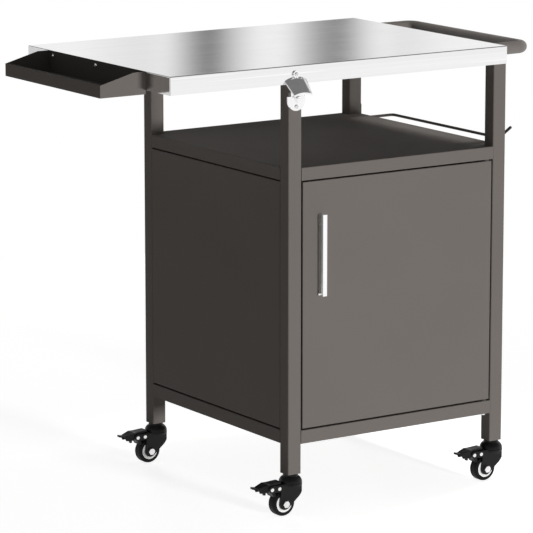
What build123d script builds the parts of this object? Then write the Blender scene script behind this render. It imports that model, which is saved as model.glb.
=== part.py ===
from build123d import *

import math
import os

# A grill cart: a folded steel worktop on four square legs, an open shelf, a cabinet with one door,
# a side tray, a push handle, a paper roll holder, a bottle opener and four braked swivel casters.
# Millimetres. X runs to the right as seen from the door's side, Y to the back, Z up from the floor.

# Cabinet and legs
WIDTH = 520.0  # over the legs, left to right
DEPTH = 528.0  # over the legs, front to back
LEG = 30.0
LEG_WALL = 1.5
LEG_ROUND = 2.5
LEG_INNER_ROUND = 1.0
LEG_FOOT = 59.0  # bare leg under the base panel
BASE_RAIL = 26.5
CABINET = 493.0  # from the base panel to the shelf's lower edge
SHELF_RAIL = 25.0
BAY = 164.0  # from the shelf to the worktop's skirt
PLUG_LENGTH = 22.0

# Worktop and the rails under it
TOP_SHEET = 1.2
TOP_BEND = 2.0
SKIRT = 35.5
SKIRT_LIP = 12.0
OVERHANG = 267.0  # worktop past the cabinet's left side
RAIL_HEIGHT = 20.0
RAIL_SHEET = 1.5
RAIL_END_GAP = 2.0

# Folded pans and panels
SHEET = 1.0
PAN_BEND = 1.5
PAN_LIP = 25.0
PANEL_FLANGE = 12.0
PANEL_GAP = 3.0  # above and below the side and rear panels
SEAM = 0.2  # between a sheet part and a leg

# Door
DOOR_GAP = 3.3
DOOR_DEPTH = 15.0
DOOR_LIP = 14.0
CORNER_CLEARANCE = 0.6  # between the door's turning corner and the leg
STIFFENER_WIDTH = 40.0
RUNNING_GAP = 0.05
PIN_R = 3.0
PIN_HEAD_R = 5.0
PIN_HEAD = 3.0
PIN_ENGAGE = 9.0  # length of pin inside the door
BUSH_WALL = 2.0
BUSH_FLANGE = 1.5  # how far the bush's flange stands past its wall
BUSH_LIFT = 0.3
PULL_LENGTH = 160.0
PULL_WIDTH = 10.0
PULL_DEPTH = 17.0
PULL_WALL = 2.0
PULL_ROUND = 0.8
PULL_INSET = 35.5  # from the door's free edge
PULL_DROP = 65.0  # from the door's top edge
PULL_SCREW_INSET = 20.0
CATCH_INSET = 24.0  # from the door's free edge
CATCH_WIDTH = 42.0
CATCH_DEPTH = 14.0
CATCH_HEIGHT = 17.0
CATCH_GAP = 0.5
STRIKE_SHEET = 1.2
STRIKE_HEIGHT = 11.0

# Side tray
TRAY_LENGTH = 360.0
TRAY_REACH = 100.0
TRAY_HEIGHT = 43.0
TRAY_OUTER = 24.0  # height of the outer wall
TRAY_FLAT = 27.0  # level stretch of the end walls
TRAY_SHEET = 1.2
TRAY_LIP = 8.0
TRAY_SCREW_INSET = 16.0  # from the tray's ends to its outer screws
TRAY_SCREW_DROP = 9.0

# Push handle
BAR_R = 12.5
BAR_WALL = 1.5
BAR_REACH = 111.0  # from the skirt to the bar's outer edge
BAR_INSET = 70.0  # from the cabinet's front and back to the arms
BAR_BEND = 20.0
BAR_DROP = 17.0  # from the worktop to the bar's centre
BAR_PLUG = 24.0

# Paper roll holder
ROD_R = 3.0
ROD_REACH = 93.0
ROD_RUN = 371.0
ROD_TIP = 48.0
ROD_TIP_ANGLE = 35.0
ROD_BEND = 8.0
ROD_END_ROUND = 2.4
ROD_DROP = 12.5  # below the shelf's surface
ROD_PLATE_HEIGHT = 66.0
ROD_PLATE_SHEET = 2.0
ROD_SCREW_SPACING = 44.0

# Bottle opener
OPENER_SHEET = 3.0
OPENER_DROP = 17.0  # from the worktop to the upper screw
OPENER_SPAN = 62.0  # between its two screws
EAR_R = 7.0
NECK_WIDTH = 24.0
DISC_R = 20.0
DISC_RISE = 12.0  # disc's centre above the lower screw
DISC_SHOULDER = 8.0
HOOD_SHEET = 3.6
HOOD_BACK_WIDTH = 50.0
HOOD_BACK_RISE = 6.5
HOOD_BACK_DROP = 11.0  # hood's rear corners below the upper screw
HOOD_LIP_WIDTH = 41.0
HOOD_LIP_RISE = 4.0
HOOD_REACH = 24.0
HOOD_FALL = 25.0
TOOTH_WIDTH = 12.0
TOOTH_REACH = 7.0
TOOTH_SHEET = 3.0

# Casters
WHEEL_R = 25.4
WHEEL_WIDTH = 20.0
TYRE_ROUND = 4.0
HUB_R = 17.6
HUB_BOSS_R = 8.0
HUB_RING_R = 11.5  # inner edge of the hub's flat ring
HUB_RECESS = 3.5
SEAT_GAP = 0.05
TRAIL = 21.0  # axle behind the stem
WHEEL_SIDE_GAP = 1.0
BOSS_SIDE_GAP = 0.3
FORK_ROOF_GAP = 8.2  # above the tyre, with room for the stem's head
CHEEK = 3.5
CHEEK_EASE = 0.8
AXLE_BOSS_R = 12.0
KNEE_BACK = 5.4  # middle of the cheek's large curve, behind the stem
KNEE_RISE = 30.0  # and above the axle
KNEE_R = 25.0
DOME_R = 23.0
DOME_WALL = 4.6  # upright part of the dome, up to its groove
DOME_HEIGHT = 22.5
DOME_COLLAR_R = 15.5
DOME_COLLAR = 5.0
DOME_STEP = 1.2
DOME_GROOVE = 1.0
BACK_STEP = 0.4  # from the dome in to the fork's rounded back
DOME_GAP = 0.5  # between the dome and the leg
STEM_R = 4.0
THREAD_R = 5.0
STEM_HEAD_R = 7.0
STEM_HEAD = 1.8
STEM_HEAD_ROOM = 1.2  # around the stem's head, up to the fork's back
AXLE_R = 4.0
AXLE_HEAD = 5.3
AXLE_FLATS = 13.0
AXLE_NUT = 6.5
BRAKE_PIN_R = 2.5
BRAKE_PIN_HEAD_R = 4.0
BRAKE_PIN_HEAD = 1.8
BRAKE_PIN_DROP = 24.0  # below the leg's end
PEDAL_PIVOT = 52.0  # pedal's pin behind the stem
SPACER_PIN = 35.0  # second pin behind the stem
EYE_R = 7.0
EYE_ROOM = 0.7  # between the fork's eyes and the pedal's wide part
PEDAL_REACH = 91.0
PEDAL_INNER = 28.0
PEDAL_SHEET = 4.0
PEDAL_RISE = 12.5  # pedal's top above its pin
PEDAL_SLOPE = 2.0  # fall of the top as far as the wide part
PEDAL_WIDTH = 26.0
PEDAL_DIP = 7.5  # hollow before the toe, below the pedal's top
PEDAL_DIP_WIDTH = 17.0
PEDAL_TOE = 12.0  # length of the turned-up toe
PEDAL_TOE_RISE = 3.2
PEDAL_TOE_WIDTH = 9.0
PEDAL_SKIRT = 17.7  # depth of the pedal's sides
PEDAL_SKIRT_SLANT = 3.0
PEDAL_HEEL = 12.0  # release heel, below the pedal's pin
PEDAL_SIDE_GAP = 0.5
PEDAL_ROUND = 2.0
SHOE_R = 3.0
BRAKE_TRAVEL = 14.0  # degrees from released to pressed
BRAKE_GAP = 0.4  # shoe to tyre when pressed

# Fasteners
BOLT_R = 3.0
BOLT_HEAD_R = 5.0
BOLT_HEAD = 3.5
BOLT_BITE = 7.0
SCREW_R = 2.0
SCREW_HEAD_R = 4.0
SCREW_HEAD = 2.4
SCREW_BITE = 6.0
NUT_HEIGHT = 4.0
NUT_FLATS = 8.0
HOLE_GAP = 0.1
PANEL_SCREW_INSET = 40.0
PANEL_SCREW_STAGGER = 16.0  # rear panel's screws above the side panels'
HEAD_ROUND = 0.6  # rounded share of a head's height
PLUG_FILL = 0.8  # share of a plug that its bolt fills

# Heights
axle_z = WHEEL_R
roof_z = 2 * WHEEL_R + FORK_ROOF_GAP
dome_top = roof_z + DOME_HEIGHT
leg_bottom = dome_top + DOME_GAP
base_bottom = leg_bottom + LEG_FOOT
base_top = base_bottom + BASE_RAIL
shelf_bottom = base_top + CABINET
shelf_top = shelf_bottom + SHELF_RAIL
skirt_bottom = shelf_top + BAY
top_z = skirt_bottom + SKIRT
leg_top = top_z - TOP_SHEET - RAIL_HEIGHT

# Places in plan, with the origin in the middle of the whole cart's outline
slot_half = WHEEL_WIDTH / 2 + WHEEL_SIDE_GAP
fork_half = slot_half + CHEEK
axle_tail = fork_half + AXLE_NUT + AXLE_R / 2
opener_front = TOP_SHEET + OPENER_SHEET + HOOD_REACH
front_most = max(opener_front, PULL_DEPTH, DOME_R - LEG / 2)
back_most = max(TOP_SHEET, DOME_R - LEG / 2, axle_tail - LEG / 2)
x_left = (OVERHANG + TRAY_REACH - WIDTH - TOP_SHEET - BAR_REACH) / 2
x_right = x_left + WIDTH
y_front = (front_most - DEPTH - back_most) / 2
y_back = y_front + DEPTH
x_mid = (x_left + x_right) / 2
y_mid = (y_front + y_back) / 2
top_left = x_left - OVERHANG
top_right = x_right + TOP_SHEET
leg_x = {"left": x_left + LEG / 2, "right": x_right - LEG / 2}
leg_y = {"front": y_front + LEG / 2, "rear": y_back - LEG / 2}
corners = [(row, side) for row in leg_y for side in leg_x]

# Door
door_left = x_left + LEG + DOOR_GAP
door_right = x_right - LEG - DOOR_GAP
door_bottom = base_top + DOOR_GAP
door_top = shelf_bottom - DOOR_GAP
door_back = y_front + DOOR_DEPTH
turn_room = DOOR_GAP - CORNER_CLEARANCE
pin_inset = ((DOOR_DEPTH / 2) ** 2 - turn_room ** 2) / (2 * turn_room)
pin_x = door_right - pin_inset
pin_y = y_front + DOOR_DEPTH / 2

# Height of the brake's two pins
brake_z = leg_bottom - BRAKE_PIN_DROP


def block(x0, x1, y0, y1, z0, z1):
    """A box between two corners."""
    return Pos((x0 + x1) / 2, (y0 + y1) / 2, (z0 + z1) / 2) * Box(x1 - x0, y1 - y0, z1 - z0)


def rod(start, axis, radius, length):
    """A cylinder that starts at a point and runs along an axis."""
    return extrude(Plane(origin=start, z_dir=axis) * Circle(radius), length)


def ring(start, axis, inner, outer, length):
    """A tube that starts at a point and runs along an axis."""
    return extrude(Plane(origin=start, z_dir=axis) * (Circle(outer) - Circle(inner)), length)


def hexagon(start, axis, flats, length):
    """A hexagonal prism, given across its flats."""
    section = RegularPolygon(flats / 2, 6, major_radius=False)
    return extrude(Plane(origin=start, z_dir=axis) * section, length)


def screw(start, axis, radius, length, head_r, head):
    """A round-headed screw whose head rests on a point and whose shank runs along an axis."""
    cap = Pos(0, 0, -head / 2) * Cylinder(head_r, head)
    cap = fillet(cap.edges().group_by(Axis.Z)[0], HEAD_ROUND * head)
    shank = Pos(0, 0, length / 2) * Cylinder(radius, length)
    return Plane(origin=start, z_dir=axis).location * (cap + shank)


def drill(start, axis, radius, length):
    """The hole for a screw, with a little clearance and past both faces."""
    begin = Vector(*start) - Vector(*axis) * radius
    return rod(begin, axis, radius + HOLE_GAP, length + 2 * radius)


def bolts_of(places, length):
    return [screw(point, axis, BOLT_R, length, BOLT_HEAD_R, BOLT_HEAD) for point, axis in places]


def screws_of(places, length):
    return [screw(point, axis, SCREW_R, length, SCREW_HEAD_R, SCREW_HEAD) for point, axis in places]


def drills_of(places, radius, length):
    return [drill(point, axis, radius, length) for point, axis in places]


def group(solids):
    """Separate solids that share one node."""
    return Compound(children=[solid.solid() for solid in solids])


# Where each fastener's head rests, and the way its shank points
pan_heights = {"base": (base_bottom + base_top) / 2, "shelf": (shelf_bottom + shelf_top) / 2}
tab = SEAM + SHEET
tab_bolt = tab + LEG_WALL + BOLT_BITE
pan_bolts = []
rail_bolts = []
for row, side in corners:
    to_left = -1 if side == "left" else 1
    to_front = -1 if row == "front" else 1
    for z in pan_heights.values():
        x = leg_x[side] - to_left * (LEG / 2 + tab)
        pan_bolts.append(((x, leg_y[row], z), (to_left, 0, 0)))
        y = leg_y[row] - to_front * (LEG / 2 + tab)
        pan_bolts.append(((leg_x[side], y, z), (0, to_front, 0)))
    rail_bolts.append(((leg_x[side], leg_y[row], leg_top + RAIL_SHEET), (0, 0, -1)))
rail_bolt = RAIL_SHEET + PLUG_FILL * PLUG_LENGTH

panel_bottom = base_top + PANEL_GAP
panel_top = shelf_bottom - PANEL_GAP
panel_screws = []
for z in (panel_bottom + PANEL_SCREW_INSET, panel_top - PANEL_SCREW_INSET):
    for x in (x_left + PANEL_FLANGE / 2, x_right - PANEL_FLANGE / 2):
        panel_screws.append(((x, y_front + LEG + tab, z), (0, -1, 0)))
        panel_screws.append(((x, y_back - LEG - tab, z), (0, 1, 0)))
    y = y_back - PANEL_FLANGE / 2
    rear_z = z + PANEL_SCREW_STAGGER
    panel_screws.append(((x_left + LEG + tab, y, rear_z), (-1, 0, 0)))
    panel_screws.append(((x_right - LEG - tab, y, rear_z), (1, 0, 0)))
panel_screw = tab + LEG_WALL + SCREW_BITE

tray_screws = []
tray_screw_step = TRAY_LENGTH / 2 - TRAY_SCREW_INSET
for step in (-1, 0, 1):
    point = (top_left - TRAY_SHEET, y_mid + step * tray_screw_step, top_z - TRAY_SCREW_DROP)
    tray_screws.append((point, (1, 0, 0)))
tray_screw = TRAY_SHEET + TOP_SHEET + NUT_HEIGHT + SCREW_R

bar_z = top_z - BAR_DROP
bar_bolts = []
for y in (y_front + BAR_INSET, y_back - BAR_INSET):
    bar_bolts.append(((x_right, y, bar_z), (1, 0, 0)))
bar_bolt = TOP_SHEET + PLUG_FILL * BAR_PLUG

rod_z = shelf_top - ROD_DROP
rod_screws = []
for z in (rod_z - ROD_SCREW_SPACING / 2, rod_z + ROD_SCREW_SPACING / 2):
    rod_screws.append(((x_right + ROD_PLATE_SHEET, leg_y["rear"], z), (-1, 0, 0)))
rod_screw = ROD_PLATE_SHEET + LEG_WALL + SCREW_BITE

opener_x = leg_x["left"]
opener_back = y_front - TOP_SHEET
opener_face = opener_back - OPENER_SHEET
ear_z = top_z - OPENER_DROP
opener_screws = []
for z in (ear_z, ear_z - OPENER_SPAN):
    opener_screws.append(((opener_x, opener_face, z), (0, 1, 0)))
opener_screw = OPENER_SHEET + TOP_SHEET + max(LEG_WALL, RAIL_SHEET) + SCREW_BITE / 2

pull_left = door_left + PULL_INSET
pull_top = door_top - PULL_DROP
pull_bottom = pull_top - PULL_LENGTH
pull_screws = []
for z in (pull_bottom + PULL_SCREW_INSET, pull_top - PULL_SCREW_INSET):
    pull_screws.append(((pull_left + PULL_WIDTH / 2, y_front + SHEET, z), (0, -1, 0)))
pull_screw = SHEET + PULL_WALL


def worktop():
    """A folded sheet: top, four skirts, and a lower lip that is notched round the legs."""
    x0, x1 = top_left, top_right
    y0, y1 = y_front - TOP_SHEET, y_back + TOP_SHEET
    sheet = block(x0, x1, y0, y1, skirt_bottom, top_z)
    sheet = fillet(sheet.edges().filter_by(Axis.Z) + sheet.edges().group_by(Axis.Z)[-1], TOP_BEND)
    t = TOP_SHEET
    sheet -= block(x0 + t, x1 - t, y0 + t, y1 - t, skirt_bottom + t, top_z - t)
    lip = t + SKIRT_LIP
    sheet -= block(x0 + lip, x1 - lip, y0 + lip, y1 - lip, skirt_bottom - t, top_z - t)
    notch = LEG / 2 + SEAM
    for row, side in corners:
        x, y = leg_x[side], leg_y[row]
        x_out, y_out = (x - LEG / 2, x + notch), (y - LEG / 2, y + notch)
        if side == "right":
            x_out = (x - notch, x + LEG / 2)
        if row == "rear":
            y_out = (y - notch, y + LEG / 2)
        sheet -= block(*x_out, *y_out, skirt_bottom - t, skirt_bottom + 2 * t)
    sheet -= drills_of(tray_screws, SCREW_R, tray_screw)
    sheet -= drills_of(bar_bolts, BOLT_R, bar_bolt)
    sheet -= drills_of(opener_screws[:1], SCREW_R, opener_screw)
    return sheet


def top_rail(row):
    """A channel under the worktop, open towards the middle, that stands on two legs."""
    x0, x1 = top_left + TOP_SHEET + RAIL_END_GAP, x_right - RAIL_END_GAP
    z0, z1 = leg_top, top_z - TOP_SHEET
    y0, y1 = y_front, y_front + LEG
    hollow = (y0 + RAIL_SHEET, y1)
    if row == "rear":
        y0, y1 = y_back - LEG, y_back
        hollow = (y0, y1 - RAIL_SHEET)
    rail = block(x0, x1, y0, y1, z0, z1)
    rail -= block(x0, x1, *hollow, z0 + RAIL_SHEET, z1 - RAIL_SHEET)
    rail -= drills_of(rail_bolts, BOLT_R, RAIL_SHEET)
    if row == "front":
        rail -= drills_of(opener_screws[:1], SCREW_R, opener_screw)
    return rail


def leg_bore():
    """The square inside a leg, which its plugs fill."""
    side = LEG - 2 * LEG_WALL
    return RectangleRounded(side, side, LEG_INNER_ROUND)


def leg(row, side):
    """Square tube from the caster to the top rail, drilled for what is fastened to it."""
    section = RectangleRounded(LEG, LEG, LEG_ROUND) - leg_bore()
    x, y = leg_x[side], leg_y[row]
    tube = Pos(x, y, leg_bottom) * extrude(section, leg_top - leg_bottom)
    reach = LEG / 2 + SEAM + max(tab, ROD_PLATE_SHEET, OPENER_SHEET + TOP_SHEET)
    fastenings = (
        (pan_bolts, BOLT_R, tab_bolt),
        (panel_screws, SCREW_R, panel_screw),
        (rod_screws, SCREW_R, rod_screw),
        (opener_screws[1:], SCREW_R, opener_screw),
    )
    for places, radius, length in fastenings:
        for point, axis in places:
            if abs(point[0] - x) <= reach and abs(point[1] - y) <= reach:
                tube -= drill(point, axis, radius, length)
    return tube


def leg_plugs():
    """Threaded plugs: a caster's stem screws into the lower one and a bolt into the upper one."""
    plugs = []
    for row, side in corners:
        place = Pos(leg_x[side], leg_y[row], 0)
        for z, bore in ((leg_bottom, THREAD_R), (leg_top - PLUG_LENGTH, BOLT_R)):
            plug = extrude(leg_bore() - Circle(bore + SEAT_GAP), PLUG_LENGTH)
            plugs.append(place * Pos(0, 0, z) * plug)
    return group(plugs)


def notched_plan(inset):
    """The cabinet's plan with a notch for each leg, drawn in from its outline."""
    plan = Rectangle(WIDTH - 2 * inset, DEPTH - 2 * inset)
    notch = LEG + SEAM + inset
    for side in (-1, 1):
        for row in (-1, 1):
            x = side * (WIDTH - notch) / 2
            y = row * (DEPTH - notch) / 2
            plan -= Pos(x, y) * Rectangle(notch, notch)
    return plan


def pan(bottom, top):
    """A folded pan, open below, with side walls, tabs at the legs and a return lip."""
    height = top - bottom
    body = extrude(notched_plan(0), height)
    upper = body.edges().group_by(Axis.Z)[-1]
    outer = [e for e in upper if e.length > min(WIDTH, DEPTH) / 2]
    body = fillet(outer, PAN_BEND)
    body -= Pos(0, 0, SHEET) * extrude(notched_plan(SHEET), height - 2 * SHEET)
    body -= extrude(notched_plan(PAN_LIP), 2 * SHEET)
    body = Pos(x_mid, y_mid, bottom) * body
    return body - drills_of(pan_bolts, BOLT_R, tab_bolt)


def mid_shelf():
    hole = drill((pin_x, pin_y, shelf_bottom + SHEET), (0, 0, -1), PIN_R, SHEET)
    return pan(shelf_bottom, shelf_top) - hole


def base_panel():
    hole = drill((pin_x, pin_y, base_bottom), (0, 0, 1), PIN_R, BASE_RAIL)
    return pan(base_bottom, base_top) - hole


def flanged_panel(length, height):
    """A sheet in the XZ plane, outer face on y = 0, with flanges towards +Y all round."""
    panel = Pos(0, PANEL_FLANGE / 2, 0) * Box(length, PANEL_FLANGE, height)
    panel = fillet(panel.faces().sort_by(Axis.Y)[0].edges(), PAN_BEND)
    hollow = Box(length - 2 * SHEET, PANEL_FLANGE, height - 2 * SHEET)
    return panel - Pos(0, SHEET + PANEL_FLANGE / 2, 0) * hollow


def side_panel(side):
    """The panel between a front leg and a rear leg."""
    panel = flanged_panel(DEPTH - 2 * LEG - 2 * SEAM, panel_top - panel_bottom)
    z = (panel_bottom + panel_top) / 2
    if side == "left":
        panel = Pos(x_left, y_mid, z) * Rot(0, 0, -90) * panel
    else:
        panel = Pos(x_right, y_mid, z) * Rot(0, 0, 90) * panel
    return panel - drills_of(panel_screws, SCREW_R, panel_screw)


def rear_panel():
    panel = flanged_panel(WIDTH - 2 * LEG - 2 * SEAM, panel_top - panel_bottom)
    panel = Pos(x_mid, y_back, (panel_bottom + panel_top) / 2) * Rot(0, 0, 180) * panel
    return panel - drills_of(panel_screws, SCREW_R, panel_screw)


def tray_pieces():
    """A folded channel with a tall inner wall and a low, lipped outer one, and its two welded end plates."""
    bottom = top_z - TRAY_HEIGHT
    outer = top_left - TRAY_REACH
    brow = (top_left - TRAY_FLAT, top_z)
    low_side = [(top_left, bottom), (outer, bottom), (outer, bottom + TRAY_OUTER)]
    outline = Polyline(*low_side, brow, (top_left, top_z), close=True)
    body = extrude(Plane.XZ * make_face(outline), TRAY_LENGTH / 2, both=True)
    body = fillet(body.edges().filter_by(Axis.Z), TRAY_SHEET)
    body = Pos(0, y_mid, 0) * body
    t = TRAY_SHEET
    y0, y1 = y_mid - TRAY_LENGTH / 2 + t, y_mid + TRAY_LENGTH / 2 - t
    between = block(outer - t, top_left + t, y0, y1, bottom - t, top_z + t)
    ends = body - between
    channel = body & between
    low = bottom + TRAY_OUTER - t
    channel -= block(outer + t, top_left - t, y0, y1, bottom + t, low)
    channel -= block(outer + t + TRAY_LIP, top_left - t, y0, y1, low - t, top_z + t)
    channel -= block(outer - t, outer + t + 2 * TRAY_LIP, y0, y1, low + t, top_z + t)
    return channel - drills_of(tray_screws, SCREW_R, tray_screw), group(ends.solids())


def tray_screw_sets():
    """Three screws with their nuts behind the skirt."""
    solids = screws_of(tray_screws, tray_screw)
    for (x, y, z), axis in tray_screws:
        start = (top_left + TOP_SHEET, y, z)
        nut = hexagon(start, axis, NUT_FLATS, NUT_HEIGHT)
        solids.append(nut - drill(start, axis, SCREW_R, NUT_HEIGHT))
    return group(solids)


def bar_path():
    """Centre line of the push handle: an arm, the bar and the other arm."""
    x0 = top_right
    x1 = top_right + BAR_REACH - BAR_R
    y0, y1 = y_front + BAR_INSET, y_back - BAR_INSET
    points = [(x0, y0, bar_z), (x1, y0, bar_z), (x1, y1, bar_z), (x0, y1, bar_z)]
    return FilletPolyline(*points, radius=BAR_BEND)


def push_handle():
    path = bar_path()
    start = Plane(origin=path @ 0, z_dir=path % 0)
    tube = sweep(start * Circle(BAR_R), path=path)
    return tube - sweep(start * Circle(BAR_R - BAR_WALL), path=path)


def handle_plugs():
    radius = BAR_R - BAR_WALL - SEAT_GAP
    plugs = []
    for (x, y, z), axis in bar_bolts:
        plugs.append(ring((top_right, y, z), axis, BOLT_R + SEAT_GAP, radius, BAR_PLUG))
    return group(plugs)


def roll_holder():
    """A bent rod welded to a plate on the right rear leg."""
    x0 = x_right + ROD_PLATE_SHEET / 2
    x1 = x_right + ROD_REACH
    y0 = leg_y["rear"]
    y1 = y0 - ROD_RUN
    angle = math.radians(ROD_TIP_ANGLE)
    tip = (x1, y1 - ROD_TIP * math.cos(angle), rod_z + ROD_TIP * math.sin(angle))
    path = FilletPolyline((x0, y0, rod_z), (x1, y0, rod_z), (x1, y1, rod_z), tip, radius=ROD_BEND)
    bar = sweep(Plane(origin=path @ 0, z_dir=path % 0) * Circle(ROD_R), path=path)
    bar = fillet(bar.faces().sort_by(Axis.Z)[-1].edges(), ROD_END_ROUND)
    half = ROD_PLATE_HEIGHT / 2
    side = LEG / 2 - LEG_ROUND
    plate_x = (x_right, x_right + ROD_PLATE_SHEET)
    plate = block(*plate_x, y0 - side, y0 + side, rod_z - half, rod_z + half)
    plate = fillet(plate.edges().filter_by(Axis.X), LEG_ROUND)
    return plate + bar - drills_of(rod_screws, SCREW_R, rod_screw)


def arch(width, rise, corner_z, y):
    """A thin arched strip in a plane across the hood, its top edge bowed upwards."""
    half = width / 2
    low = corner_z - HOOD_SHEET
    upper = ThreePointArc((-half, corner_z), (0, corner_z + rise), (half, corner_z))
    lower = ThreePointArc((half, low), (0, low + rise), (-half, low))
    joins = Line((half, corner_z), (half, low)) + Line((-half, low), (-half, corner_z))
    face = make_face(upper + joins + lower)
    return Pos(opener_x, y, 0) * (Plane.XZ * face)


def bottle_opener():
    """A plate with an ear and a round foot, an arched hood in front of it, and a tooth under the hood."""
    low_z = ear_z - OPENER_SPAN
    disc_z = low_z + DISC_RISE
    shoulder = disc_z + DISC_SHOULDER
    ear = Pos(0, ear_z) * Circle(EAR_R)
    neck = Pos(0, (ear_z + disc_z) / 2) * Rectangle(NECK_WIDTH, ear_z - disc_z)
    neck_top = Pos(0, ear_z) * Rectangle(NECK_WIDTH, 2 * EAR_R)
    foot = Pos(0, disc_z) * Circle(DISC_R)
    foot -= Pos(0, disc_z + DISC_R) * Rectangle(2 * DISC_R, 2 * DISC_R)
    foot += Pos(0, (disc_z + shoulder) / 2) * Rectangle(2 * DISC_R, shoulder - disc_z)
    outline = ear + (neck - neck_top) + foot
    plate = Pos(opener_x, opener_back, 0) * extrude(Plane.XZ * outline, OPENER_SHEET)
    strap = EAR_R / 2
    plate += block(opener_x - strap, opener_x + strap, opener_face, opener_back, ear_z - 2 * EAR_R, ear_z)
    corner_z = ear_z - HOOD_BACK_DROP
    lip_y = opener_face - HOOD_REACH
    hood = loft([
        arch(HOOD_BACK_WIDTH, HOOD_BACK_RISE, corner_z, opener_back),
        arch(HOOD_LIP_WIDTH, HOOD_LIP_RISE, corner_z - HOOD_FALL, lip_y),
    ])
    half = TOOTH_WIDTH / 2
    tooth_y = (opener_face - TOOTH_REACH, opener_back)
    tooth = block(opener_x - half, opener_x + half, *tooth_y, shoulder - TOOTH_SHEET, shoulder)
    pad = rod((opener_x, opener_back, low_z), (0, 1, 0), 2 * SCREW_HEAD_R, TOP_SHEET)
    return plate + hood + tooth + pad - drills_of(opener_screws, SCREW_R, opener_screw)


def hinge_pins():
    """Two headed pins: the upper one hangs in the shelf's lip, the lower one stands in the base panel."""
    upper_end = door_top - PIN_ENGAGE
    lower_end = door_bottom + PIN_ENGAGE
    upper_seat = shelf_bottom + SHEET
    upper = rod((pin_x, pin_y, upper_end), (0, 0, 1), PIN_R, upper_seat - upper_end)
    upper += rod((pin_x, pin_y, upper_seat), (0, 0, 1), PIN_HEAD_R, PIN_HEAD)
    lower = rod((pin_x, pin_y, base_bottom), (0, 0, 1), PIN_R, lower_end - base_bottom)
    lower += rod((pin_x, pin_y, base_bottom - PIN_HEAD), (0, 0, 1), PIN_HEAD_R, PIN_HEAD)
    return group([upper, lower])


catch_left = door_left + CATCH_INSET


def door_catch():
    """A magnet block under the shelf's lip, just behind the closed door."""
    y0 = door_back + STRIKE_SHEET + CATCH_GAP
    z0 = shelf_bottom - CATCH_HEIGHT
    body = block(catch_left, catch_left + CATCH_WIDTH, y0, y0 + CATCH_DEPTH, z0, shelf_bottom)
    return fillet(body.edges().filter_by(Axis.Z), PAN_BEND)


def door_panel():
    """A folded pan with a return lip at its back and holes for the bushes."""
    x0, x1, z0, z1 = door_left, door_right, door_bottom, door_top
    body = block(x0, x1, y_front, door_back, z0, z1)
    body = fillet(body.faces().sort_by(Axis.Y)[0].edges(), PAN_BEND)
    t = SHEET
    body -= block(x0 + t, x1 - t, y_front + t, door_back - t, z0 + t, z1 - t)
    lip = DOOR_LIP
    body -= block(x0 + lip, x1 - lip, door_back - 2 * t, door_back + t, z0 + lip, z1 - lip)
    bush_r = PIN_R + RUNNING_GAP + BUSH_WALL
    for z in (z0, z1):
        body -= rod((pin_x, pin_y, z - 2 * t), (0, 0, 1), bush_r + SEAT_GAP, 4 * t)
    return body - drills_of(pull_screws, SCREW_R, pull_screw)


def door_stiffener():
    """A channel down the middle of the door, its edges against the skin and its web inside the back."""
    mid = (door_left + door_right) / 2
    x0, x1 = mid - STIFFENER_WIDTH / 2, mid + STIFFENER_WIDTH / 2
    y0, y1 = y_front + SHEET, door_back - SHEET
    z0, z1 = door_bottom + SHEET, door_top - SHEET
    return block(x0, x1, y0, y1, z0, z1) - block(x0 + SHEET, x1 - SHEET, y0, y1 - SHEET, z0, z1)


def door_pull():
    """A channel-shaped pull, open towards the door's free edge."""
    x0, x1 = pull_left, pull_left + PULL_WIDTH
    y0, y1 = y_front - PULL_DEPTH, y_front
    bar = block(x0, x1, y0, y1, pull_bottom, pull_top)
    bar = fillet(bar.edges().filter_by(Axis.Z).group_by(Axis.Y)[0], PULL_ROUND)
    w = PULL_WALL
    bar -= block(x0 - w, x1 - w, y0 + w, y1 - w, pull_bottom - w, pull_top + w)
    return bar - drills_of(pull_screws, SCREW_R, pull_screw)


def door_bushes():
    """Flanged bushes that turn on the hinge pins."""
    bore = PIN_R + RUNNING_GAP
    outer = bore + BUSH_WALL
    flange = DOOR_GAP - BUSH_LIFT
    length = PIN_ENGAGE + PIN_R
    bushes = []
    for z, way in ((door_top, 1), (door_bottom, -1)):
        bush = ring((pin_x, pin_y, z), (0, 0, way), bore, outer + BUSH_FLANGE, flange)
        bush += ring((pin_x, pin_y, z), (0, 0, -way), bore, outer, length)
        bushes.append(bush)
    return group(bushes)


def strike_plate():
    z1 = door_top - SHEET
    plate_y = (door_back, door_back + STRIKE_SHEET)
    plate = block(catch_left, catch_left + CATCH_WIDTH, *plate_y, z1 - STRIKE_HEIGHT, z1)
    return fillet(plate.edges().filter_by(Axis.Y), PAN_BEND)


def caster_stem():
    """The fixed stem: a thread in the leg's plug, a plain shank in the fork and a riveted head."""
    shoulder = dome_top + BOSS_SIDE_GAP
    head_top = roof_z - BOSS_SIDE_GAP
    stem = rod((0, 0, head_top - STEM_HEAD), (0, 0, 1), STEM_HEAD_R, STEM_HEAD)
    stem += rod((0, 0, head_top), (0, 0, 1), STEM_R, shoulder - head_top)
    return stem + rod((0, 0, shoulder), (0, 0, 1), THREAD_R, leg_bottom + PLUG_LENGTH - shoulder)


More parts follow.
